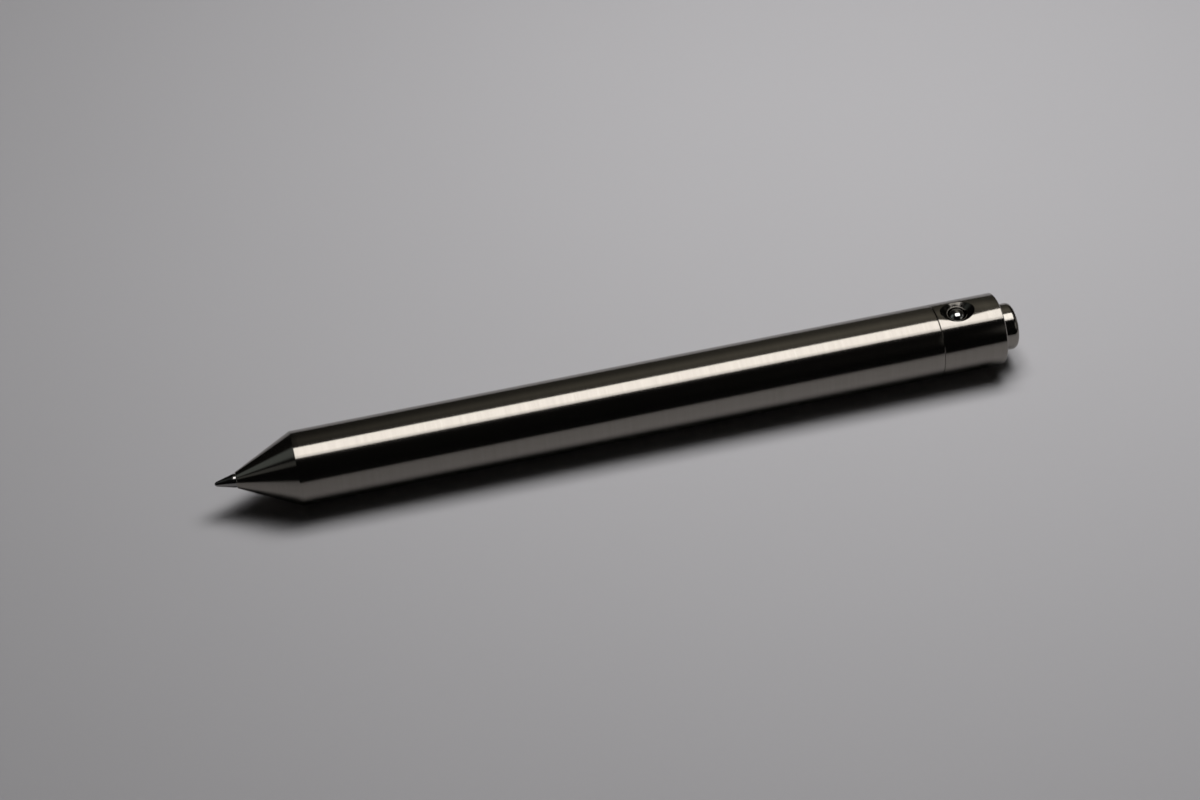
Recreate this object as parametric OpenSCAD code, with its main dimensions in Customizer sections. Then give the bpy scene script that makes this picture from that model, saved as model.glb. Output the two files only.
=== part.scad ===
// Retractable pen turned from bar stock, with a push plunger and a ball release.
// The pen lies along X with its writing end toward -X and its lock ball on top.
// Rest state: plunger pressed in, point out, ball locked.

/* [Body] */
// Outside diameter of the barrel and the end cap
body_d = 12.7; // [12:0.1:16]
// Nose end to the seam with the end cap
barrel_l = 122.2; // [118:0.1:140]
// Length of the writing cone
cone_l = 10.1; // [9:0.1:16]
// Wall left around the guide hole at the nose end
nose_wall = 0.175; // [0.15:0.005:0.8]
// Length of the guide hole, up to the seat of the return spring
nose_bore_l = 5; // [4:0.1:6]
// Bore behind the refill, tapped for the end cap
tapped_bore_d = 10; // [9.8:0.1:10.6]
// Chamfer on both edges of the seam
seam_break = 0.1; // [0.05:0.01:0.3]
// Chamfer on the nose end
nose_break = 0.08; // [0.04:0.01:0.12]

/* [End cap] */
// Seam to the rear edge
cap_l = 11.4; // [10.8:0.1:16]
// Chamfer on the rear edge
cap_break = 0.2; // [0.05:0.05:0.6]
// Length of the threaded spigot
spigot_l = 8; // [5:0.5:12]
// Depth of the thread run-out beside the seam
runout_depth = 0.3; // [0.1:0.05:0.4]
// Length of the thread run-out
runout_l = 0.9; // [0.5:0.1:2]
// Chamfer that leads the thread in
lead_break = 0.4; // [0.2:0.05:0.6]

/* [Ball lock] */
// Lock ball
ball_d = 3.5; // [3:0.05:3.7]
// Seam to the centre of the lock hole
lock_from_seam = 3.9; // [3.4:0.1:4.4]
// Finger recess across its rim, along the pen
recess_d = 6.1; // [5.4:0.1:6.6]
// Centre of the locked ball, out from the plunger's bore
ball_rise = 0.15; // [0.05:0.05:0.4]
// How much smaller than the ball the opening in the lip is
lip_bite = 0.2; // [0.1:0.01:0.3]
// Thickness of the lip
lip_t = 0.58; // [0.4:0.01:0.8]
// Flat ledge around the opening, at the bottom of the recess
ledge = 0.15; // [0.1:0.05:0.3]

/* [Plunger] */
// Plunger rod
plunger_d = 8.2; // [7.6:0.1:8.8]
// Rod left outside the end cap while the point is out
plunger_out = 2.97; // [1:0.01:5]
// Rounding on the rod's end, in from its side
plunger_round_d = 0.6; // [0.2:0.05:1.2]
// Rounding on the rod's end, along it
plunger_round_l = 0.85; // [0.2:0.05:1.2]
// Stroke from point out to point in
travel = 4.6; // [4:0.1:4.8]
// Thickness of the flange that keeps the plunger in the pen
flange_l = 1.8; // [1:0.1:3]
// Chamfer on the flange
flange_break = 0.2; // [0.1:0.05:0.4]
// Floor of the ball pocket, below the pen's axis
pocket_floor = 2; // [1.8:0.1:2.4]

/* [Refill] */
// Point to tail
refill_l = 110.5; // [106:0.1:112]
// Point outside the nose while it is out
point_out = 3.65; // [3:0.05:4]
// Metal point across its shank
point_d = 2.36; // [2.2:0.02:2.4]
// Shank outside the nose before the point tapers
point_shank_out = 0.45; // [0:0.05:0.8]
// Point across its writing end
point_end_d = 0.84; // [0.7:0.02:1]
// Length of the metal point
point_l = 14.6; // [12:0.1:16]
// Ink channel in the metal point
point_channel_d = 0.4; // [0.3:0.05:0.5]
// Ink channel in the holder
holder_channel_d = 1.6; // [1:0.1:2]
// Rounding chamfer on the holder's neck and the tail plug
moulded_break = 0.3; // [0.1:0.05:0.4]
// Writing ball
writing_ball_d = 0.7; // [0.5:0.05:0.7]
// Nose end to the front of the neck
neck_from_nose = 6.4; // [6:0.1:8]
// Nose end to the shoulder that the return spring bears on
shoulder_from_nose = 16; // [15:0.1:20]
// Thickness of the shoulder
shoulder_l = 1.5; // [1:0.1:3]
// Ink tube outside
tube_d = 6.1; // [5.8:0.05:6.2]
// Ink tube wall
tube_wall = 0.75; // [0.4:0.05:1]
// Spigots of the holder and the tail plug inside the tube
tube_spigot_l = 5; // [3:0.5:8]
// Head of the tail plug
tail_l = 2; // [1:0.1:4]
// Air hole in the tail plug
vent_d = 1.2; // [0.6:0.1:2]
// Ink left in the tube
ink_l = 58; // [20:1:70]
// Grease plug that follows the ink
follower_l = 6; // [3:0.5:8]

/* [Springs] */
// Return spring, middle of the wire
return_mean_d = 4.2; // [4.1:0.05:4.3]
// Return spring wire
return_wire_d = 0.4; // [0.3:0.02:0.45]
// Return spring coils
return_coils = 10; // [6:1:12]
// Ball spring, middle of the wire
ball_mean_d = 2.2; // [2:0.05:2.3]
// Ball spring wire
ball_wire_d = 0.3; // [0.2:0.02:0.34]
// Ball spring coils
ball_coils = 6; // [4:1:6]

/* [Fits] */
// Radial clearance of the plunger in the end cap
plunger_fit = 0.05; // [0.02:0.01:0.1]
// Radial clearance of the end cap's thread
thread_fit = 0.04; // [0.02:0.01:0.1]
// Radial clearance of the point in the nose
point_fit = 0.07; // [0.03:0.01:0.1]
// Radial room around the ink tube in its bore
tube_room = 0.2; // [0.1:0.05:0.6]
// Radial room around the return spring in its bore
spring_room = 0.2; // [0.1:0.05:0.4]
// Radial room between the return spring and the holder's neck
neck_room = 0.2; // [0.1:0.05:0.3]
// Radial room around the plunger's flange
flange_room = 0.3; // [0.15:0.05:0.5]
// Step from the ink tube in to the heads of the holder and the tail plug
head_step = 0.1; // [0.05:0.05:0.2]
// Radial clearance of the ball in its seat and pocket
ball_fit = 0.05; // [0.03:0.01:0.08]
// Extra radial clearance along the ball race
race_fit = 0.03; // [0.02:0.01:0.06]
// Gap left where two parts stop against each other
stop_gap = 0.05; // [0.02:0.01:0.1]
// Gap inside the glued and filled refill
fill_gap = 0.02; // [0.01:0.01:0.05]
// Plunger stroke left past the locked place
over_stroke = 0.6; // [0.4:0.1:1]

/* [Hidden] */
$fn = 96;
cut = 1;
body_r = body_d / 2;
ball_r = ball_d / 2;
lip_d = ball_d - lip_bite;
nose_bore_d = point_d + 2 * point_fit;
nose_d = nose_bore_d + 2 * nose_wall;
neck_d = return_mean_d - return_wire_d - 2 * neck_room;
spring_bore_d = return_mean_d + return_wire_d + 2 * spring_room;
refill_bore_d = tube_d + 2 * tube_room;
flange_d = tapped_bore_d - 2 * flange_room;
head_d = tube_d - 2 * head_step;

// Places along the pen, from the nose end.
cap_end = barrel_l + cap_l;
plunger_end = cap_end + plunger_out;
point_tip = -point_out;
refill_tail = refill_l - point_out;
stem_front = refill_tail + stop_gap;
spigot_front = barrel_l - spigot_l;
flange_back = spigot_front - travel - stop_gap;
flange_front = flange_back - flange_l;
chamber_floor = flange_front - over_stroke;
tube_front = shoulder_from_nose + shoulder_l;
refill_bore_from = shoulder_from_nose - over_stroke - stop_gap;
lock_at = barrel_l + lock_from_seam;
middle = (plunger_end + point_tip) / 2;

// Ball lock, as heights above the pen's axis.
plunger_bore_r = plunger_d / 2 + plunger_fit;
ball_locked = plunger_bore_r + ball_rise;
lip_seat = ball_locked + sqrt(pow(ball_r, 2) - pow(lip_d / 2, 2)) + stop_gap;
lip_edge = lip_seat + lip_t;
recess_depth = body_r - lip_edge;
ball_hidden = plunger_bore_r - ball_r - stop_gap;
ball_drop = ball_locked - ball_hidden;
race_slope = atan(ball_drop / travel);
race_l = sqrt(pow(travel, 2) + pow(ball_drop, 2));

// Tube interior and point.
tube_bore_r = tube_d / 2 - tube_wall;
drill_slope = tan(31);
drill_l = (refill_bore_d - spring_bore_d) / 2 * drill_slope;
point_ball_at = point_tip + writing_ball_d / 2;
point_back = point_tip + point_l;
holder_back = tube_front + tube_spigot_l;
tube_back = refill_tail - tail_l;
tail_front = tube_back - tube_spigot_l;

// Stands for the pen's own frame: axis along z from the nose end, lock side toward +x.
module lay() {
    translate([-middle, 0, body_r])
        rotate([0, 90, 0])
            rotate([0, 0, 180])
                children();
}

module turned(outline) {
    rotate_extrude() polygon(outline);
}

// A plain cylinder from one place along the pen to another.
module bore(r, from, to) {
    translate([0, 0, from]) cylinder(r = r, h = to - from);
}

// Stands a child up at the lock hole, so that its z runs out from the pen's axis.
module at_lock() {
    translate([0, 0, lock_at]) rotate([0, 90, 0]) children();
}

module barrel() {
    color("silver") lay() difference() {
        turned([[0, 0],
                [nose_d / 2 - nose_break, 0],
                [nose_d / 2, nose_break],
                [body_r, cone_l],
                [body_r, barrel_l - seam_break],
                [body_r - seam_break, barrel_l],
                [0, barrel_l]]);
        bore(nose_bore_d / 2, -cut, nose_bore_l + cut);
        bore(spring_bore_d / 2, nose_bore_l, refill_bore_from + cut);
        translate([0, 0, refill_bore_from - drill_l])
            cylinder(r1 = spring_bore_d / 2, r2 = refill_bore_d / 2, h = drill_l);
        bore(refill_bore_d / 2, refill_bore_from, chamber_floor + cut);
        bore(tapped_bore_d / 2, chamber_floor, barrel_l + cut);
    }
}

module end_cap() {
    spigot_r = tapped_bore_d / 2 - thread_fit;
    recess_widening = ((recess_d - lip_d) / 2 - ledge) / recess_depth;
    color("lightgray") lay() difference() {
        turned([[0, spigot_front],
                [spigot_r - lead_break, spigot_front],
                [spigot_r, spigot_front + lead_break],
                [spigot_r, barrel_l - runout_l],
                [spigot_r - runout_depth, barrel_l - runout_l + runout_depth],
                [spigot_r - runout_depth, barrel_l],
                [body_r - seam_break, barrel_l],
                [body_r, barrel_l + seam_break],
                [body_r, cap_end - cap_break],
                [body_r - cap_break, cap_end],
                [0, cap_end]]);
        bore(plunger_bore_r, spigot_front - cut, cap_end + cut);
        at_lock() {
            cylinder(r = ball_r + ball_fit, h = lip_seat);
            cylinder(d = lip_d, h = body_r);
            translate([0, 0, lip_edge])
                cylinder(r1 = lip_d / 2 + ledge, r2 = recess_d / 2 + cut * recess_widening,
                         h = recess_depth + cut);
        }
        translate([ball_locked, 0, lock_at])
            rotate([0, -race_slope, 0])
                cylinder(r = ball_r + ball_fit + race_fit, h = race_l + stop_gap);
    }
}

module plunger() {
    color("gainsboro") lay() difference() {
        turned([[0, stem_front],
                [head_d / 2 - flange_break, stem_front],
                [head_d / 2, stem_front + flange_break],
                [head_d / 2, flange_front],
                [flange_d / 2 - flange_break, flange_front],
                [flange_d / 2, flange_front + flange_break],
                [flange_d / 2, flange_back],
                [plunger_d / 2, flange_back],
                each [for (a = [0 : 15 : 90])
                    [plunger_d / 2 - plunger_round_d * (1 - cos(a)),
                     plunger_end - plunger_round_l * (1 - sin(a))]],
                [0, plunger_end]]);
        at_lock() translate([0, 0, -pocket_floor])
            cylinder(r = ball_r + ball_fit, h = pocket_floor + plunger_d);
    }
}

module lock_ball() {
    color("white") lay() at_lock() translate([0, 0, ball_locked]) sphere(r = ball_r);
}

// Coil spring from z = 0 up: one closed tube around a helix.
rings = 8;
sides = 6;
function coil_point(mean_r, pitch, i) =
    let (a = 360 * i / rings) [mean_r * cos(a), mean_r * sin(a), pitch * i / rings];
function coil_ring(mean_r, wire_r, pitch, i) =
    let (a = 360 * i / rings,
         climb = atan2(pitch, 2 * PI * mean_r),
         out = [cos(a), sin(a), 0],
         up = [sin(a) * sin(climb), -cos(a) * sin(climb), cos(climb)])
    [for (k = [0 : sides - 1])
        let (b = 360 * k / sides)
        coil_point(mean_r, pitch, i) + wire_r * (cos(b) * out + sin(b) * up)];
function coil_gap(mean_r, wire_r, pitch, coils) =
    min([for (i = [0 : coils * rings - rings / 2], j = [i + rings / 2 : coils * rings])
        norm(coil_point(mean_r, pitch, i) - coil_point(mean_r, pitch, j))]) - 2 * wire_r;

module coil_spring(mean_r, wire_r, pitch, coils) {
    last = coils * rings;
    points = [for (i = [0 : last]) each coil_ring(mean_r, wire_r, pitch, i)];
    walls = [for (i = [0 : last - 1], k = [0 : sides - 1])
        let (n = (k + 1) % sides, a = i * sides + k, b = i * sides + n)
        each [[a, a + sides, b], [b, a + sides, b + sides]]];
    ends = [[for (k = [0 : sides - 1]) k],
            [for (k = [sides - 1 : -1 : 0]) last * sides + k]];
    polyhedron(points = points, faces = concat(ends, walls));
}

return_room = shoulder_from_nose - nose_bore_l - 2 * stop_gap - return_wire_d;
return_pitch = return_room / return_coils;
ball_touch = ball_locked - sqrt(pow(ball_r, 2) - pow(ball_mean_d / 2, 2)) - ball_wire_d / 2;
ball_spring_room = ball_touch + pocket_floor - 2 * stop_gap - ball_wire_d;
ball_pitch = ball_spring_room / ball_coils;
echo(return_spring_gap = coil_gap(return_mean_d / 2, return_wire_d / 2, return_pitch, return_coils));
echo(ball_spring_gap = coil_gap(ball_mean_d / 2, ball_wire_d / 2, ball_pitch, ball_coils));
echo(ball_locked = ball_locked, ball_drop = ball_drop, ratio = ball_drop / travel, middle = middle,
     spigot_front = spigot_front, lock_at = lock_at);

module return_spring() {
    color("slategray") lay()
        translate([0, 0, nose_bore_l + stop_gap + return_wire_d / 2])
            coil_spring(return_mean_d / 2, return_wire_d / 2, return_pitch, return_coils);
}

module ball_spring() {
    color("slategray") lay() at_lock()
        translate([0, 0, -pocket_floor + stop_gap + ball_wire_d / 2])
            coil_spring(ball_mean_d / 2, ball_wire_d / 2, ball_pitch, ball_coils);
}

module refill_tube() {
    color("whitesmoke") lay() difference() {
        bore(tube_d / 2, tube_front, tube_back);
        bore(tube_bore_r, tube_front - cut, tube_back + cut);
    }
}

module tip_holder() {
    color("lightsteelblue") lay() difference() {
        turned([[0, neck_from_nose],
                [neck_d / 2 - moulded_break, neck_from_nose],
                [neck_d / 2, neck_from_nose + moulded_break],
                [neck_d / 2, shoulder_from_nose],
                [head_d / 2, shoulder_from_nose],
                [head_d / 2, tube_front],
                [tube_bore_r - fill_gap, tube_front],
                [tube_bore_r - fill_gap, holder_back],
                [0, holder_back]]);
        bore(point_d / 2 + fill_gap, neck_from_nose - cut, point_back + stop_gap);
        bore(holder_channel_d / 2, point_back, holder_back + cut);
    }
}

module refill_tip() {
    rim_in = (point_end_d - writing_ball_d) / 4;
    rim_out = writing_ball_d / 8;
    color("dimgray") lay() difference() {
        turned([[0, point_ball_at],
                [point_end_d / 2 - rim_in, point_ball_at - rim_out],
                [point_end_d / 2, point_ball_at],
                [point_d / 2, -point_shank_out],
                [point_d / 2, point_back],
                [0, point_back]]);
        translate([0, 0, point_ball_at]) sphere(r = writing_ball_d / 2 + fill_gap);
        bore(point_channel_d / 2, point_ball_at, point_back + cut);
    }
}

module writing_ball() {
    color("black") lay() translate([0, 0, point_ball_at]) sphere(d = writing_ball_d);
}

module ink() {
    from = holder_back + fill_gap;
    color("midnightblue") lay() bore(tube_bore_r - fill_gap, from, from + ink_l);
}

module ink_follower() {
    from = holder_back + ink_l + 2 * fill_gap;
    color("khaki") lay() bore(tube_bore_r - fill_gap, from, from + follower_l);
}

module tail_plug() {
    color("white") lay() difference() {
        turned([[0, tail_front],
                [tube_bore_r - fill_gap, tail_front],
                [tube_bore_r - fill_gap, tube_back],
                [head_d / 2, tube_back],
                [head_d / 2, refill_tail - moulded_break],
                [head_d / 2 - moulded_break, refill_tail],
                [0, refill_tail]]);
        bore(vent_d / 2, tail_front - cut, refill_tail + cut);
    }
}

barrel();
end_cap();
plunger();
lock_ball();
ball_spring();
return_spring();
refill_tube();
tip_holder();
refill_tip();
writing_ball();
ink();
ink_follower();
tail_plug();
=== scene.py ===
import math
import bpy
from mathutils import Matrix, Vector


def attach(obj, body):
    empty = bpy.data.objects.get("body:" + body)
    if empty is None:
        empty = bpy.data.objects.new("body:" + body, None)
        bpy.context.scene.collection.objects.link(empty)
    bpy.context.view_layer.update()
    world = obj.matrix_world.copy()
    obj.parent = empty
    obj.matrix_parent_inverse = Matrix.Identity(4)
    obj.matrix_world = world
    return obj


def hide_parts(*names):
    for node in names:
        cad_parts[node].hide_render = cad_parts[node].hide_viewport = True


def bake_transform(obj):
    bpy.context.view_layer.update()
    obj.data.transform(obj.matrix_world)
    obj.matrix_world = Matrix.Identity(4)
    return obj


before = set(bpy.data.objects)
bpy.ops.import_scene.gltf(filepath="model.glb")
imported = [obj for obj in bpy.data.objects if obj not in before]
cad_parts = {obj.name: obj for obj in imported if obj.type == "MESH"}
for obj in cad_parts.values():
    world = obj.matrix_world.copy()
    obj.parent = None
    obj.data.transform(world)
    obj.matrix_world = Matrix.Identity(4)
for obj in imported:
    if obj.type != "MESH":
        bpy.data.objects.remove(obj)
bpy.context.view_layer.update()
print("frame loaded:", len(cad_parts), "nodes")

scene = bpy.context.scene
scene.view_settings.view_transform = "Standard"

penMiddle = 66.46    # mm from the nose end to x = 0
axisHeight = 0.00635    # m, the pen's axis above the table
speck = 0.001    # m, the plane that a lathe outline starts from
latheWeld = 1e-7    # m, points of a turned piece that are one
wireWeld = 1e-8    # m, the same for spring wire
offAxis = 1e-6    # mm, an outline further out than this has a bore
edgeFaces = 3    # faces across each broken edge


def along(place):
    return (place - penMiddle) / 1000


def spotAt(place, height=0):
    # mm along the pen and up from its axis, as metres in the frame
    return (along(place), 0, axisHeight + height / 1000)


def deselectAll():
    if bpy.context.mode != "OBJECT":
        bpy.ops.object.mode_set(mode="OBJECT")
    bpy.ops.object.select_all(action="DESELECT")


def pickOnly(piece):
    deselectAll()
    piece.select_set(True)
    bpy.context.view_layer.objects.active = piece


def editAll():
    bpy.ops.object.mode_set(mode="EDIT")
    bpy.ops.mesh.select_all(action="SELECT")


def settle(piece):
    # place and size go into the mesh, so the object stays at the origin
    pickOnly(piece)
    bpy.ops.object.transform_apply(location=True, rotation=True, scale=True)


def takeNew(name):
    # the primitive just added, under its own name
    piece = bpy.context.object
    piece.name = name
    piece.data.name = name
    settle(piece)
    return piece


def smoothOver(piece, angle):
    pickOnly(piece)
    bpy.ops.object.shade_smooth_by_angle(angle=math.radians(angle), keep_sharp_edges=True)


def wearMaterial(piece, finish):
    piece.data.materials.clear()
    piece.data.materials.append(finish)


def turnOnLathe(name, profile, steps, uprightAt=None):
    # profile: (mm along the axis, mm out from it), a closed outline when it never meets the axis;
    # the axis is the pen's own, or stands up from it at uprightAt
    if uprightAt is None:
        centre, axis = (0, 0, axisHeight), (1, 0, 0)
        outline = [Vector(spotAt(place, out)) for place, out in profile]
    else:
        centre, axis = (along(uprightAt), 0, 0), (0, 0, 1)
        outline = [Vector((along(uprightAt) + out / 1000, 0, axisHeight + place / 1000))
                   for place, out in profile]
    if min(out for _, out in profile) > offAxis:
        outline.append(outline[0])
    deselectAll()
    bpy.ops.mesh.primitive_plane_add(size=speck, location=outline[0])
    piece = takeNew(name)
    editAll()
    bpy.ops.mesh.merge(type="CENTER")
    for here, there in zip(outline, outline[1:]):
        bpy.ops.mesh.extrude_vertices_move(TRANSFORM_OT_translate={"value": there - here})
    bpy.ops.mesh.select_all(action="SELECT")
    bpy.ops.mesh.spin(steps=steps, angle=2 * math.pi, center=centre, axis=axis)
    bpy.ops.mesh.select_all(action="SELECT")
    bpy.ops.mesh.remove_doubles(threshold=latheWeld)
    bpy.ops.mesh.normals_make_consistent(inside=False)
    bpy.ops.object.mode_set(mode="OBJECT")
    return piece


def cutAway(piece, cutter, finish):
    # the cut faces take the cutter's finish
    wearMaterial(cutter, finish)
    pickOnly(piece)
    cut = piece.modifiers.new("cut", "BOOLEAN")
    cut.operation = "DIFFERENCE"
    cut.solver = "EXACT"
    cut.object = cutter
    cut.material_mode = "TRANSFER"
    bpy.ops.object.modifier_apply(modifier=cut.name)
    bpy.data.objects.remove(cutter, do_unlink=True)


def breakEdges(piece, width, angle):
    pickOnly(piece)
    edge = piece.modifiers.new("edge", "BEVEL")
    edge.width = width / 1000
    edge.segments = edgeFaces
    edge.limit_method = "ANGLE"
    edge.angle_limit = math.radians(angle)
    bpy.ops.object.modifier_apply(modifier=edge.name)


# finishes

latheMarks = {    # what the turned metals share
    "fineAround": 30, "fineDetail": 3, "fineSpan": (0.25, 0.75), "fineShare": 0.6,
    "broadAround": 18, "broadDetail": 2, "broadSpan": (0.3, 0.7), "broadShare": 0.4,
    "cloudSize": (60, 90, 90), "cloudDetail": 3, "cloudSpan": (0.35, 0.7),
    "depth": 0.00002, "grainTurn": 0.25}
speckles = {"detail": 4, "span": (0.3, 0.7)}    # what the plain metals and the plastics share
plasticSkin = {"strength": 0.15, "depth": 0.00003, "ior": 1.49}
noiseRoughness = 0.6


def freshMaterial(name):
    finish = bpy.data.materials.new(name)
    finish.use_nodes = True
    nodes = finish.node_tree.nodes
    return finish, nodes, finish.node_tree.links, nodes["Principled BSDF"]


def onObject(nodes):
    return nodes.new("ShaderNodeTexCoord").outputs["Object"]


def noised(nodes, links, source, scale, detail, label, shift=(0, 0, 0)):
    mapping = nodes.new("ShaderNodeMapping")
    mapping.inputs["Location"].default_value = shift
    mapping.inputs["Scale"].default_value = scale
    links.new(source, mapping.inputs["Vector"])
    noise = nodes.new("ShaderNodeTexNoise")
    noise.label = label
    noise.inputs["Scale"].default_value = 1.0
    noise.inputs["Detail"].default_value = detail
    noise.inputs["Roughness"].default_value = noiseRoughness
    links.new(mapping.outputs["Vector"], noise.inputs["Vector"])
    return noise.outputs["Fac"]


def stretched(nodes, links, scale, detail, label):
    return noised(nodes, links, onObject(nodes), scale, detail, label, (0, 0, -axisHeight))


def combined(nodes, links, operation, first, second):
    node = nodes.new("ShaderNodeMath")
    node.operation = operation
    links.new(first, node.inputs[0])
    links.new(second, node.inputs[1])
    return node.outputs["Value"]


def ringed(nodes, links, lines, around, detail, label):
    # rings about the axis, on the sides and the faced ends alike
    centred = nodes.new("ShaderNodeMapping")
    centred.inputs["Location"].default_value = (0, 0, -axisHeight)
    links.new(onObject(nodes), centred.inputs["Vector"])
    parts = nodes.new("ShaderNodeSeparateXYZ")
    links.new(centred.outputs["Vector"], parts.inputs["Vector"])
    across = nodes.new("ShaderNodeCombineXYZ")
    place = nodes.new("ShaderNodeCombineXYZ")
    for side in ("Y", "Z"):
        links.new(parts.outputs[side], across.inputs[side])
        links.new(parts.outputs[side], place.inputs[side])
    out = nodes.new("ShaderNodeVectorMath")
    out.operation = "LENGTH"
    links.new(across.outputs["Vector"], out.inputs[0])
    both = combined(nodes, links, "ADD", parts.outputs["X"], out.outputs["Value"])
    links.new(both, place.inputs["X"])
    return noised(nodes, links, place.outputs["Vector"], (lines, around, around), detail, label)


def ranged(nodes, links, source, span, toLow, toHigh):
    node = nodes.new("ShaderNodeMapRange")
    node.inputs["From Min"].default_value = span[0]
    node.inputs["From Max"].default_value = span[1]
    node.inputs["To Min"].default_value = toLow
    node.inputs["To Max"].default_value = toHigh
    links.new(source, node.inputs["Value"])
    return node.outputs["Result"]


def mixed(nodes, blend):
    mix = nodes.new("ShaderNodeMix")
    mix.data_type = "RGBA"
    mix.blend_type = blend
    return mix


def tinted(nodes, links, source, dark, light):
    mix = mixed(nodes, "MIX")
    mix.inputs["A"].default_value = (*dark, 1)
    mix.inputs["B"].default_value = (*light, 1)
    links.new(source, mix.inputs["Factor"])
    return mix.outputs["Result"]


def blended(nodes, links, blend, first, second):
    mix = mixed(nodes, blend)
    mix.inputs["Factor"].default_value = 1.0
    links.new(first, mix.inputs["A"])
    links.new(second, mix.inputs["B"])
    return mix.outputs["Result"]


def stepped(nodes, links, source, tones, curve="LINEAR"):
    # grey stops from 0 to 1; the two that a new ramp has are its ends
    node = nodes.new("ShaderNodeValToRGB")
    ramp = node.color_ramp
    ramp.interpolation = curve
    for place, tone in tones:
        stop = ramp.elements[-int(place)] if place in (0.0, 1.0) else ramp.elements.new(place)
        stop.color = (tone, tone, tone, 1)
    links.new(source, node.inputs["Fac"])
    return node.outputs["Color"]


def roughen(nodes, links, surface, height, strength, depth):
    bump = nodes.new("ShaderNodeBump")
    bump.inputs["Strength"].default_value = strength
    bump.inputs["Distance"].default_value = depth
    links.new(height, bump.inputs["Height"])
    links.new(bump.outputs["Normal"], surface.inputs["Normal"])


def speckled(nodes, links, surface, look, label):
    # colour and gloss from one fine noise
    grain = stretched(nodes, links, (look["speckle"],) * 3, speckles["detail"], label)
    links.new(tinted(nodes, links, grain, look["darkTone"], look["lightTone"]),
              surface.inputs["Base Color"])
    links.new(ranged(nodes, links, grain, speckles["span"], look["smoothest"], look["roughest"]),
              surface.inputs["Roughness"])
    return grain


def turnedMetal(name, look):
    # tool marks run around the axis, so gloss spreads along it
    m = latheMarks
    finish, nodes, links, surface = freshMaterial(name)
    fine = ringed(nodes, links, look["fineLines"], m["fineAround"], m["fineDetail"],
                  "fine tool marks")
    broad = ringed(nodes, links, look["broadLines"], m["broadAround"], m["broadDetail"],
                   "feed bands")
    cloud = stretched(nodes, links, m["cloudSize"], m["cloudDetail"], "handling haze")
    marks = combined(nodes, links, "ADD",
                     ranged(nodes, links, fine, m["fineSpan"], 0, m["fineShare"]),
                     ranged(nodes, links, broad, m["broadSpan"], 0, m["broadShare"]))
    links.new(tinted(nodes, links, marks, look["darkTone"], look["lightTone"]),
              surface.inputs["Base Color"])
    rough = combined(nodes, links, "ADD",
                     ranged(nodes, links, fine, m["fineSpan"], look["smoothest"], look["roughest"]),
                     ranged(nodes, links, cloud, m["cloudSpan"], 0, look["haze"]))
    links.new(rough, surface.inputs["Roughness"])
    roughen(nodes, links, surface, marks, look["markDepth"], m["depth"])
    around = nodes.new("ShaderNodeTangent")
    around.direction_type = "RADIAL"
    around.axis = "X"
    links.new(around.outputs["Tangent"], surface.inputs["Tangent"])
    surface.inputs["Metallic"].default_value = 1.0
    surface.inputs["Anisotropic"].default_value = look["grain"]
    surface.inputs["Anisotropic Rotation"].default_value = m["grainTurn"]
    return finish


def plainMetal(name, look):
    finish, nodes, links, surface = freshMaterial(name)
    speckled(nodes, links, surface, look, "polish haze")
    surface.inputs["Metallic"].default_value = 1.0
    return finish


def mouldedPlastic(name, look):
    finish, nodes, links, surface = freshMaterial(name)
    grain = speckled(nodes, links, surface, look, "moulded skin")
    roughen(nodes, links, surface, grain, plasticSkin["strength"], plasticSkin["depth"])
    surface.inputs["Transmission Weight"].default_value = look["clear"]
    surface.inputs["IOR"].default_value = plasticSkin["ior"]
    return finish


barrelMetal = turnedMetal("turned titanium barrel", {
    "darkTone": (0.205, 0.190, 0.171), "lightTone": (0.247, 0.229, 0.207),
    "fineLines": 7000, "broadLines": 900, "smoothest": 0.13, "roughest": 0.18,
    "haze": 0.02, "markDepth": 0.05, "grain": 0.7})
capMetal = turnedMetal("turned titanium cap", {
    "darkTone": (0.205, 0.190, 0.171), "lightTone": (0.247, 0.229, 0.207),
    "fineLines": 6400, "broadLines": 1100, "smoothest": 0.12, "roughest": 0.17,
    "haze": 0.02, "markDepth": 0.05, "grain": 0.7})
plungerMetal = turnedMetal("turned titanium plunger", {
    "darkTone": (0.225, 0.210, 0.190), "lightTone": (0.27, 0.252, 0.229),
    "fineLines": 8000, "broadLines": 1500, "smoothest": 0.09, "roughest": 0.15,
    "haze": 0.02, "markDepth": 0.02, "grain": 0.55})
tipMetal = turnedMetal("turned steel point", {
    "darkTone": (0.20, 0.196, 0.19), "lightTone": (0.27, 0.263, 0.255),
    "fineLines": 14000, "broadLines": 4000, "smoothest": 0.12, "roughest": 0.2,
    "haze": 0.02, "markDepth": 0.03, "grain": 0.4})
ballMetal = plainMetal("polished bearing ball", {
    "darkTone": (0.42, 0.42, 0.41), "lightTone": (0.52, 0.52, 0.51),
    "speckle": 2500, "smoothest": 0.04, "roughest": 0.09})
# painted shade: the countersink walls are coloured far darker than the cap's titanium, standing in
# for the dark room they reflect
recessPaintedShadeMetal = plainMetal("countersunk titanium with painted shade", {
    "darkTone": (0.095, 0.089, 0.080), "lightTone": (0.130, 0.121, 0.110),
    "speckle": 1800, "smoothest": 0.14, "roughest": 0.22})
lipMetal = plainMetal("rolled lip", {
    "darkTone": (0.20, 0.186, 0.168), "lightTone": (0.25, 0.232, 0.21),
    "speckle": 2600, "smoothest": 0.38, "roughest": 0.46})
carbideMetal = plainMetal("carbide writing ball", {
    "darkTone": (0.26, 0.26, 0.27), "lightTone": (0.36, 0.36, 0.37),
    "speckle": 9000, "smoothest": 0.08, "roughest": 0.15})
wireMetal = plainMetal("drawn spring wire", {
    "darkTone": (0.38, 0.38, 0.38), "lightTone": (0.55, 0.55, 0.54),
    "speckle": 3000, "smoothest": 0.22, "roughest": 0.36})
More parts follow.
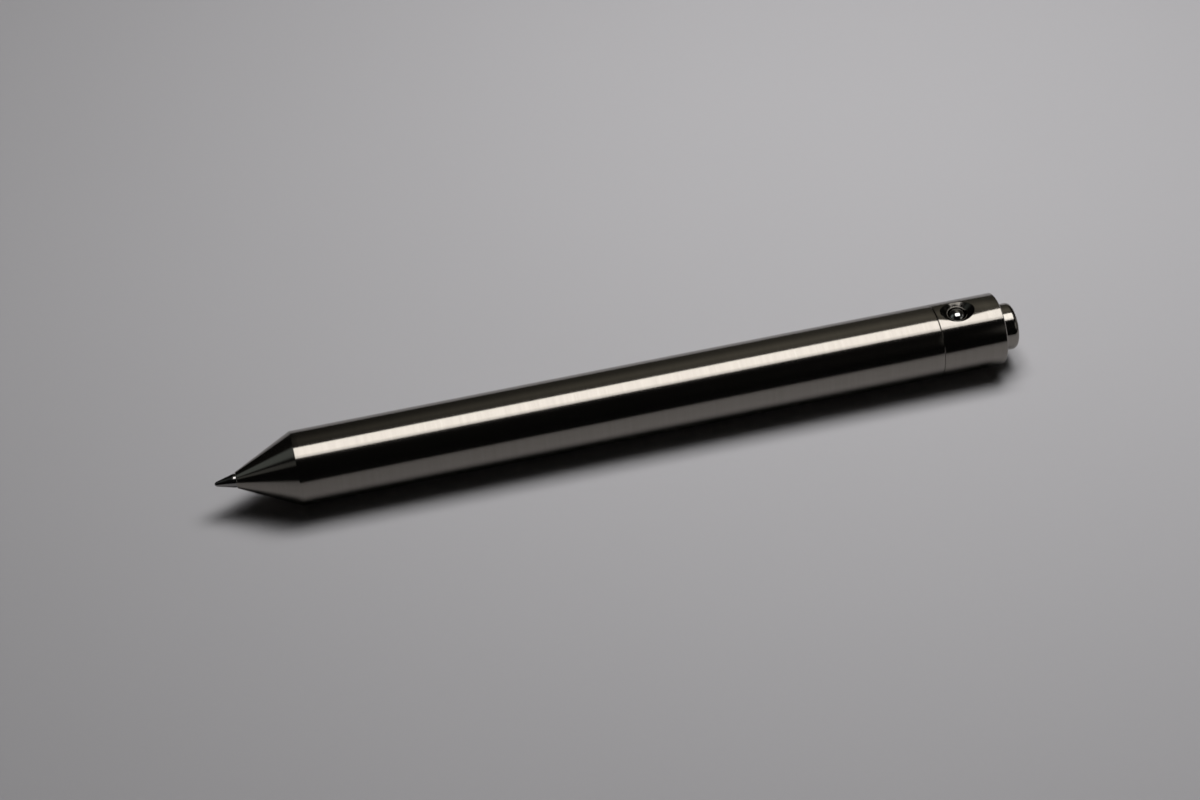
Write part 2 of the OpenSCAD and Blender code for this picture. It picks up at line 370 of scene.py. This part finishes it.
tubePlastic = mouldedPlastic("clear refill tube", {
    "darkTone": (0.78, 0.80, 0.80), "lightTone": (0.88, 0.89, 0.89),
    "speckle": 900, "smoothest": 0.16, "roughest": 0.28, "clear": 0.7})
holderPlastic = mouldedPlastic("grey point holder", {
    "darkTone": (0.34, 0.37, 0.41), "lightTone": (0.42, 0.45, 0.49),
    "speckle": 1500, "smoothest": 0.34, "roughest": 0.48, "clear": 0.0})
tailPlastic = mouldedPlastic("white tail plug", {
    "darkTone": (0.70, 0.70, 0.67), "lightTone": (0.80, 0.80, 0.77),
    "speckle": 1500, "smoothest": 0.35, "roughest": 0.5, "clear": 0.0})
inkGel = mouldedPlastic("gel ink", {
    "darkTone": (0.006, 0.006, 0.014), "lightTone": (0.014, 0.014, 0.03),
    "speckle": 400, "smoothest": 0.1, "roughest": 0.2, "clear": 0.0})
greasePlug = mouldedPlastic("follower grease", {
    "darkTone": (0.60, 0.54, 0.32), "lightTone": (0.72, 0.66, 0.42),
    "speckle": 500, "smoothest": 0.12, "roughest": 0.22, "clear": 0.5})
print("finishes ready")

# barrel with its writing cone

barrelShape = {
    "bodyRadius": 6.35, "length": 122.2, "cone": 10.1, "noseRadius": 1.425, "noseBore": 1.25,
    "noseBreak": 0.08, "seamBreak": 0.1, "noseBoreEnd": 5.0, "springBore": 2.5, "refillBore": 3.25,
    "refillBoreFrom": 15.35, "drillPoint": 0.45, "chamberFloor": 107.15, "tappedBore": 5.0,
    "support": 1.2, "edge": 0.035, "breakOver": 20, "smoothUnder": 12, "steps": 288}


def makeBarrel(b):
    barrel = turnOnLathe("barrelBody", [
        (0, b["noseBore"]),
        (0, b["noseRadius"] - b["noseBreak"]),
        (b["noseBreak"], b["noseRadius"]),
        (b["cone"], b["bodyRadius"]),
        (b["cone"] + b["support"], b["bodyRadius"]),
        (b["length"] - b["support"], b["bodyRadius"]),
        (b["length"] - b["seamBreak"], b["bodyRadius"]),
        (b["length"], b["bodyRadius"] - b["seamBreak"]),
        (b["length"], b["tappedBore"]),
        (b["chamberFloor"], b["tappedBore"]),
        (b["chamberFloor"], b["refillBore"]),
        (b["refillBoreFrom"], b["refillBore"]),
        (b["refillBoreFrom"] - b["drillPoint"], b["springBore"]),
        (b["noseBoreEnd"], b["springBore"]),
        (b["noseBoreEnd"], b["noseBore"])], b["steps"])
    breakEdges(barrel, b["edge"], b["breakOver"])
    smoothOver(barrel, b["smoothUnder"])
    wearMaterial(barrel, barrelMetal)
    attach(barrel, "barrel")
    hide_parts("barrel")


makeBarrel(barrelShape)
print("barrel turned")

# end cap with the finger recess and the ball's race

capShape = {
    "seam": 122.2, "end": 133.6, "bodyRadius": 6.35, "seamBreak": 0.1, "rearBreak": 0.2,
    "spigotFront": 114.2, "spigotRadius": 4.96, "lead": 0.4, "runOut": 0.9, "runOutDepth": 0.3,
    "bore": 4.15, "weld": 2e-6, "flatUnder": 0.3, "sortFrom": (0.3, 0.2, 0.5),
    "edge": 0.05, "breakOver": 25, "smoothUnder": 18, "steps": 288}
lockShape = {
    "at": 126.1, "ballRadius": 1.75, "ballLocked": 4.30, "ballHidden": 2.35, "travel": 4.6,
    "seatRadius": 1.80, "lipRadius": 1.65, "lipSeat": 4.9331, "lipEdge": 5.5131, "ledge": 0.15,
    "ledgeDepth": 0.012, "ledgeIn": 0.045, "ledgeCut": 0.1, "fillet": 0.15, "filletSteps": 6,
    "recessRadius": 3.05, "raceRadius": 1.83, "raceOver": 0.05, "cutOver": 1, "sides": 160}


def recessCutter(k, top):
    # seat, lip, ledge and countersink of the lock hole in one turned cutter
    inner = k["lipRadius"] + k["ledge"]
    widening = (k["recessRadius"] - inner) / (top - k["lipEdge"])
    climb = math.atan2(1, widening)
    start = inner - k["fillet"] * math.tan(climb / 2)
    profile = [(0, 0), (0, k["seatRadius"]), (k["lipSeat"], k["seatRadius"]),
               (k["lipSeat"], k["lipRadius"]), (k["lipEdge"], k["lipRadius"])]
    for i in range(k["filletSteps"] + 1):
        a = climb * i / k["filletSteps"]
        profile.append((k["lipEdge"] + k["fillet"] * (1 - math.cos(a)),
                        start + k["fillet"] * math.sin(a)))
    over = top + k["cutOver"]
    profile += [(over, k["recessRadius"] + widening * k["cutOver"]), (over, 0)]
    return turnOnLathe("recessCutter", profile, k["sides"], k["at"])


def roundCutter(name, k, floor, top, radius):
    profile = [(floor, 0), (floor, radius), (top, radius), (top, 0)]
    return turnOnLathe(name, profile, k["sides"], k["at"])


def ledgeCutter(k):
    # a shallow pass that leaves the lip its own duller face
    floor = k["lipEdge"] - k["ledgeDepth"]
    wide = k["lipRadius"] + k["ledge"] - k["ledgeIn"]
    return roundCutter("ledgeCutter", k, floor, floor + k["ledgeCut"], wide)


def raceCutter(k):
    # the slanted way that the ball takes down as the plunger slides back
    drop = k["ballLocked"] - k["ballHidden"]
    run = math.hypot(k["travel"], drop) + k["raceOver"]
    lean = math.atan2(drop, k["travel"])
    start = Vector(spotAt(k["at"], k["ballLocked"]))
    way = Vector((math.cos(lean), 0, -math.sin(lean)))
    deselectAll()
    bpy.ops.mesh.primitive_cylinder_add(
        vertices=k["sides"], radius=k["raceRadius"] / 1000, depth=run / 1000,
        location=start + way * (run / 2000), rotation=(0, math.pi / 2 + lean, 0))
    return takeNew("raceCutter")


def makeEndCap(c):
    cap = turnOnLathe("endCap", [
        (c["spigotFront"], c["bore"]),
        (c["spigotFront"], c["spigotRadius"] - c["lead"]),
        (c["spigotFront"] + c["lead"], c["spigotRadius"]),
        (c["seam"] - c["runOut"], c["spigotRadius"]),
        (c["seam"] - c["runOut"] + c["runOutDepth"], c["spigotRadius"] - c["runOutDepth"]),
        (c["seam"], c["spigotRadius"] - c["runOutDepth"]),
        (c["seam"], c["bodyRadius"] - c["seamBreak"]),
        (c["seam"] + c["seamBreak"], c["bodyRadius"]),
        (c["end"] - c["rearBreak"], c["bodyRadius"]),
        (c["end"], c["bodyRadius"] - c["rearBreak"]),
        (c["end"], c["bore"])], c["steps"])
    wearMaterial(cap, capMetal)
    # the recess and the race walls take the darker finish with painted shade
    cutAway(cap, recessCutter(lockShape, c["bodyRadius"]), recessPaintedShadeMetal)
    cutAway(cap, raceCutter(lockShape), recessPaintedShadeMetal)
    cutAway(cap, ledgeCutter(lockShape), lipMetal)
    pickOnly(cap)
    scene.cursor.location = c["sortFrom"]    # sorted by place, so that every run cleans up alike
    editAll()
    bpy.ops.mesh.sort_elements(type="CURSOR_DISTANCE", elements={"VERT", "EDGE", "FACE"})
    bpy.ops.mesh.remove_doubles(threshold=c["weld"])
    bpy.ops.mesh.dissolve_limited(angle_limit=math.radians(c["flatUnder"]))
    bpy.ops.object.mode_set(mode="OBJECT")
    breakEdges(cap, c["edge"], c["breakOver"])
    smoothOver(cap, c["smoothUnder"])
    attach(cap, "barrel")
    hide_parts("end_cap")


makeEndCap(capShape)
print("end cap turned, recess and race cut")

# plunger

plungerShape = {
    "stemFront": 106.9, "stemRadius": 2.95, "flangeFront": 107.75, "flangeBack": 109.55,
    "flangeRadius": 4.7, "flangeBreak": 0.2, "radius": 4.1, "end": 136.57, "roundIn": 0.6,
    "roundLong": 0.85, "roundSteps": 14, "pocketFloor": -2.0,
    "edge": 0.07, "breakOver": 25, "smoothUnder": 18, "steps": 224}


def makePlunger(p):
    profile = [
        (p["stemFront"], 0),
        (p["stemFront"], p["stemRadius"] - p["flangeBreak"]),
        (p["stemFront"] + p["flangeBreak"], p["stemRadius"]),
        (p["flangeFront"], p["stemRadius"]),
        (p["flangeFront"], p["flangeRadius"] - p["flangeBreak"]),
        (p["flangeFront"] + p["flangeBreak"], p["flangeRadius"]),
        (p["flangeBack"], p["flangeRadius"]),
        (p["flangeBack"], p["radius"])]
    for i in range(p["roundSteps"] + 1):
        a = math.pi / 2 * i / p["roundSteps"]
        profile.append((p["end"] - p["roundLong"] * (1 - math.sin(a)),
                        p["radius"] - p["roundIn"] * (1 - math.cos(a))))
    profile.append((p["end"], 0))
    plunger = turnOnLathe("plungerRod", profile, p["steps"])
    wearMaterial(plunger, plungerMetal)
    top = p["radius"] + lockShape["cutOver"]
    pocket = roundCutter("pocketCutter", lockShape, p["pocketFloor"], top, lockShape["seatRadius"])
    # the pocket's walls take the same finish with painted shade
    cutAway(plunger, pocket, recessPaintedShadeMetal)
    breakEdges(plunger, p["edge"], p["breakOver"])
    smoothOver(plunger, p["smoothUnder"])
    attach(plunger, "plunger")
    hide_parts("plunger")


makePlunger(plungerShape)
print("plunger turned")

# lock ball and writing ball

ballMesh = {"lockCuts": 23, "writingCuts": 15, "smoothUnder": 60}


def roundBall(name, middle, radius, cuts):
    # a cube cut fine and blown up to a ball, so no poles show
    deselectAll()
    bpy.ops.mesh.primitive_cube_add(size=radius / 500, location=middle)
    ball = takeNew(name)
    editAll()
    bpy.ops.mesh.subdivide(number_cuts=cuts)
    bpy.ops.transform.tosphere(value=1.0)
    bpy.ops.object.mode_set(mode="OBJECT")
    reached = (ball.data.vertices[0].co - Vector(middle)).length
    editAll()
    bpy.ops.transform.resize(value=(radius / 1000 / reached,) * 3, center_override=middle)
    bpy.ops.object.mode_set(mode="OBJECT")
    smoothOver(ball, ballMesh["smoothUnder"])
    return ball


lockBall = roundBall("lockBall", spotAt(lockShape["at"], lockShape["ballLocked"]),
                     lockShape["ballRadius"], ballMesh["lockCuts"])
wearMaterial(lockBall, ballMetal)
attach(lockBall, "lock_ball")
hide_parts("lock_ball")

tipShape = {
    "tip": -3.65, "ballRadius": 0.35, "endRadius": 0.42, "rimIn": 0.035, "rimOut": 0.0875,
    "socket": 0.37, "socketWrap": 0.2, "socketSteps": 8, "radius": 1.18, "shankOut": 0.45,
    "back": 10.95, "channel": 0.2, "smoothUnder": 12, "steps": 128}
writingBall = roundBall("writingBall", spotAt(tipShape["tip"] + tipShape["ballRadius"]),
                        tipShape["ballRadius"], ballMesh["writingCuts"])
wearMaterial(writingBall, carbideMetal)
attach(writingBall, "writing_ball")
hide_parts("writing_ball")
print("balls made")

# metal point


def makePoint(t):
    ballAt = t["tip"] + t["ballRadius"]
    profile = [(ballAt - t["rimOut"], t["endRadius"] - t["rimIn"]), (ballAt, t["endRadius"]),
               (-t["shankOut"], t["radius"]), (t["back"], t["radius"]), (t["back"], t["channel"])]
    reach = math.asin(t["channel"] / t["socket"])
    # the socket closes a little over the ball's middle
    sweep = math.pi / 2 + t["socketWrap"] - reach
    for i in range(t["socketSteps"] + 1):
        a = reach + sweep * i / t["socketSteps"]
        profile.append((ballAt + t["socket"] * math.cos(a), t["socket"] * math.sin(a)))
    point = turnOnLathe("refillPoint", profile, t["steps"])
    smoothOver(point, t["smoothUnder"])
    wearMaterial(point, tipMetal)
    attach(point, "refill")
    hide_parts("refill_tip")


makePoint(tipShape)
print("metal point turned")

# springs

returnCoil = {
    "from": 5.05, "to": 15.95, "meanRadius": 2.1, "wire": 0.2, "coils": 10,
    "bearsFrom": 5.0, "bearsTo": 16.0}
ballCoil = {
    "from": -1.95, "to": 2.739, "meanRadius": 1.1, "wire": 0.15, "coils": 6,
    "bearsFrom": -2.0, "bearsTo": 2.75}
coilMesh = {"wireSides": 14, "turnSteps": 48, "smoothUnder": 50}


def windCoil(name, c, axis):
    # a ring of wire carried round and along by the screw modifier
    upright = axis == "Z"
    wire, mean = c["wire"] / 1000, c["meanRadius"] / 1000
    deselectAll()
    bpy.ops.mesh.primitive_circle_add(
        vertices=coilMesh["wireSides"], radius=wire, fill_type="NOTHING",
        location=(mean, 0, 0) if upright else (0, 0, mean), rotation=(math.pi / 2, 0, 0))
    coil = takeNew(name)
    wind = coil.modifiers.new("wind", "SCREW")
    wind.axis = axis
    wind.angle = 2 * math.pi
    wind.screw_offset = (c["to"] - c["from"] - 2 * c["wire"]) / c["coils"] / 1000
    wind.iterations = c["coils"]
    wind.steps = coilMesh["turnSteps"]
    wind.render_steps = coilMesh["turnSteps"]
    wind.use_smooth_shade = True
    bpy.ops.object.modifier_apply(modifier=wind.name)
    editAll()
    bpy.ops.mesh.remove_doubles(threshold=wireWeld)
    bpy.ops.mesh.select_all(action="DESELECT")
    bpy.ops.mesh.select_non_manifold()
    bpy.ops.mesh.fill_holes(sides=0)
    bpy.ops.mesh.select_all(action="SELECT")
    bpy.ops.mesh.normals_make_consistent(inside=False)
    bpy.ops.object.mode_set(mode="OBJECT")
    start = c["from"] + c["wire"]
    # where the middle of the wire lies at the first turn
    wound = min(v.co[2 if upright else 0] for v in coil.data.vertices) + wire
    if upright:
        coil.location = (along(lockShape["at"]), 0, axisHeight + start / 1000 - wound)
    else:
        coil.location = (along(start) - wound, 0, axisHeight)
    settle(coil)
    smoothOver(coil, coilMesh["smoothUnder"])
    wearMaterial(coil, wireMetal)
    return coil


returnSpring = windCoil("returnSpring", returnCoil, "X")
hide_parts("return_spring")
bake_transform(returnSpring)
ballSpring = windCoil("ballSpring", ballCoil, "Z")
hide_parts("ball_spring")
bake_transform(ballSpring)
print("springs wound")

# refill pieces that stay as they came

refillFinishes = {
    "refill_tube": tubePlastic, "tip_holder": holderPlastic, "tail_plug": tailPlastic,
    "ink": inkGel, "ink_follower": greasePlug}
for nodeName, finish in refillFinishes.items():
    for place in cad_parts[nodeName].material_slots:
        place.material = finish
print("refill finished")

# table, light, camera

tableShape = {
    "size": 6.0, "colour": (0.511, 0.506, 0.525), "blotch": 0.025,
    "blotchSize": (7, 7, 7), "blotchDetail": 3, "toothSize": (900, 900, 900), "toothDetail": 2,
    "toothSpan": (0.3, 0.7), "smoothest": 0.72, "roughest": 0.86, "gloss": 0.3,
    "middle": (0.060, 0.070, 0), "reach": 0.5,
    # painted light: the colour rises outward from the pen to make up for the low lamps' falloff
    "tones": ((0.0, 1.0), (0.24, 1.0), (0.36, 1.04), (0.5, 1.05), (0.6, 1.12), (0.75, 1.4),
              (0.9, 1.66), (1.0, 1.72))}


def makeTable(t):
    # painted light: the table is coloured paler far out, where the low lamps don't reach
    deselectAll()
    bpy.ops.mesh.primitive_plane_add(size=t["size"], location=(0, 0, 0))
    table = bpy.context.object
    table.name = "table"
    finish, nodes, links, surface = freshMaterial("pale table")
    blotch = stretched(nodes, links, t["blotchSize"], t["blotchDetail"], "paper tone")
    tooth = stretched(nodes, links, t["toothSize"], t["toothDetail"], "paper tooth")
    apart = nodes.new("ShaderNodeVectorMath")
    apart.operation = "DISTANCE"
    apart.inputs[1].default_value = t["middle"]
    links.new(onObject(nodes), apart.inputs[0])
    outward = ranged(nodes, links, apart.outputs["Value"], (0, t["reach"]), 0, 1)
    darker = [v * (1 - t["blotch"]) for v in t["colour"]]
    paler = [v * (1 + t["blotch"]) for v in t["colour"]]
    paper = tinted(nodes, links, blotch, darker, paler)
    paintedLightRise = stepped(nodes, links, outward, t["tones"], "CARDINAL")
    links.new(blended(nodes, links, "MULTIPLY", paper, paintedLightRise), surface.inputs["Base Color"])
    links.new(ranged(nodes, links, tooth, t["toothSpan"], t["smoothest"], t["roughest"]),
              surface.inputs["Roughness"])
    surface.inputs["Specular IOR Level"].default_value = t["gloss"]
    wearMaterial(table, finish)


lampLight = {"radiance": 3.9, "colour": (1.0, 0.99, 0.98)}
overhead = {"height": 1.2, "left": -0.25, "right": 0.80}
closeAbove = {"height": 0.26, "left": -0.012, "right": 0.163}
lamps = {
    "softbox": {**overhead, "near": -0.18, "far": 0.432, "share": 1.0, "onMetal": True},
    "softboxSkirt": {**overhead, "near": -0.325, "far": -0.18, "share": 0.7, "onMetal": True},
    "lowFillNear": {**closeAbove, "near": -0.016, "far": 0.02, "share": 0.67, "onMetal": False},
    "lowFillFar": {**closeAbove, "near": 0.02, "far": 0.125, "share": 2.13, "onMetal": False},
    "highFill": {**overhead, "near": -0.02, "far": 0.70, "share": 0.58, "onMetal": False}}


def makeLight(name, lamp):
    # the softbox shows in the metal, the fills light the table and the plastics
    deselectAll()
    bpy.ops.object.light_add(type="AREA", location=(
        (lamp["left"] + lamp["right"]) / 2, (lamp["near"] + lamp["far"]) / 2, lamp["height"]))
    soft = bpy.context.object
    soft.name = name
    soft.data.shape = "RECTANGLE"
    soft.data.size = lamp["right"] - lamp["left"]
    soft.data.size_y = lamp["far"] - lamp["near"]
    area = soft.data.size * soft.data.size_y
    soft.data.energy = lampLight["radiance"] * lamp["share"] * math.pi * area
    soft.data.color = lampLight["colour"]
    soft.visible_glossy = lamp["onMetal"]
    soft.visible_diffuse = not lamp["onMetal"]


room = {
    "dark": (0.005, 0.005, 0.005), "bright": (0.34, 0.325, 0.275), "farSide": (-0.05, 0.35),
    "heightTones": ((0.0, 0.26), (0.29, 0.30), (0.47, 0.45), (0.62, 0.72), (0.73, 0.95),
                    (0.82, 0.70), (0.90, 0.55), (1.0, 0.3)),
    "sideTones": ((0.0, 0.0), (0.475, 0.05), (0.52, 0.24), (0.575, 0.57), (0.65, 0.92),
                  (0.72, 0.45), (0.80, 0.1), (1.0, 0.05)),
    "glows": (    # direction, cosine at the outer edge and where it is full, colour
        ((-0.69, 0.234, 0.684), (0.955, 0.985), (0.17, 0.195, 0.19)),
        ((-0.759, -0.258, 0.594), (0.988, 0.995), (0.12, 0.125, 0.12)),
        ((-1, 0, 0.36), (0.957, 0.99), (0.25, 0.246, 0.235)),
        ((0.68, -0.55, 0.48), (0.95, 0.985), (0.30, 0.295, 0.28)),
        ((1, 0, 0.36), (0.957, 0.99), (0.25, 0.246, 0.235)))}


def makeRoom(r):
    # a dark room, paler high on the far side, with a few soft glows
    world = bpy.data.worlds.new("dark room")
    scene.world = world
    world.use_nodes = True
    world.cycles_visibility.diffuse = False    # it shows in gloss and lights no dull surface
    nodes, links = world.node_tree.nodes, world.node_tree.links
    back = nodes["Background"]
    look = nodes.new("ShaderNodeTexCoord").outputs["Generated"]
    parts = nodes.new("ShaderNodeSeparateXYZ")
    links.new(look, parts.inputs["Vector"])
    farSide = ranged(nodes, links, parts.outputs["Y"], r["farSide"], 0, 1)
    across = ranged(nodes, links, parts.outputs["X"], (-1, 1), 0, 1)
    sideways = stepped(nodes, links, across, r["sideTones"])
    height = stepped(nodes, links, parts.outputs["Z"], r["heightTones"])
    wall = combined(nodes, links, "MULTIPLY", farSide, sideways)
    share = combined(nodes, links, "MULTIPLY", wall, height)
    tone = tinted(nodes, links, share, r["dark"], r["bright"])
    for towards, span, colour in r["glows"]:
        facing = nodes.new("ShaderNodeVectorMath")
        facing.operation = "DOT_PRODUCT"
        facing.inputs[1].default_value = Vector(towards).normalized()
        links.new(look, facing.inputs[0])
        within = ranged(nodes, links, facing.outputs["Value"], span, 0, 1)
        glow = tinted(nodes, links, within, (0, 0, 0), colour)
        tone = blended(nodes, links, "ADD", tone, glow)
    links.new(tone, back.inputs["Color"])
    back.inputs["Strength"].default_value = 1.0


view = {
    "elevation": 45.595, "azimuth": -12.109, "roll": -2.565, "target": (64.285, 7.83),
    "distance": 461.668, "focalPixels": 2652.447, "framePixels": 1200, "sensor": 36.0,
    "clip": (0.01, 20)}


def makeCamera(v):
    # fitted to the photo's outline of the pen
    deselectAll()
    bpy.ops.object.camera_add()
    camera = bpy.context.object
    camera.name = "camera"
    camera.data.sensor_width = v["sensor"]
    camera.data.sensor_fit = "HORIZONTAL"
    camera.data.lens = v["sensor"] * v["focalPixels"] / v["framePixels"]
    camera.data.clip_start, camera.data.clip_end = v["clip"]
    turn = (Matrix.Rotation(math.radians(v["azimuth"]), 4, "Z")
            @ Matrix.Rotation(math.radians(90 - v["elevation"]), 4, "X")
            @ Matrix.Rotation(math.radians(v["roll"]), 4, "Z"))
    target = Vector((along(v["target"][0]), v["target"][1] / 1000, 0))
    back = turn.to_3x3() @ Vector((0, 0, v["distance"] / 1000))
    camera.matrix_world = Matrix.Translation(target + back) @ turn
    scene.camera = camera


makeTable(tableShape)
for name, lamp in lamps.items():
    makeLight(name, lamp)
makeRoom(room)
makeCamera(view)
print("studio set")

bpy.context.view_layer.update()
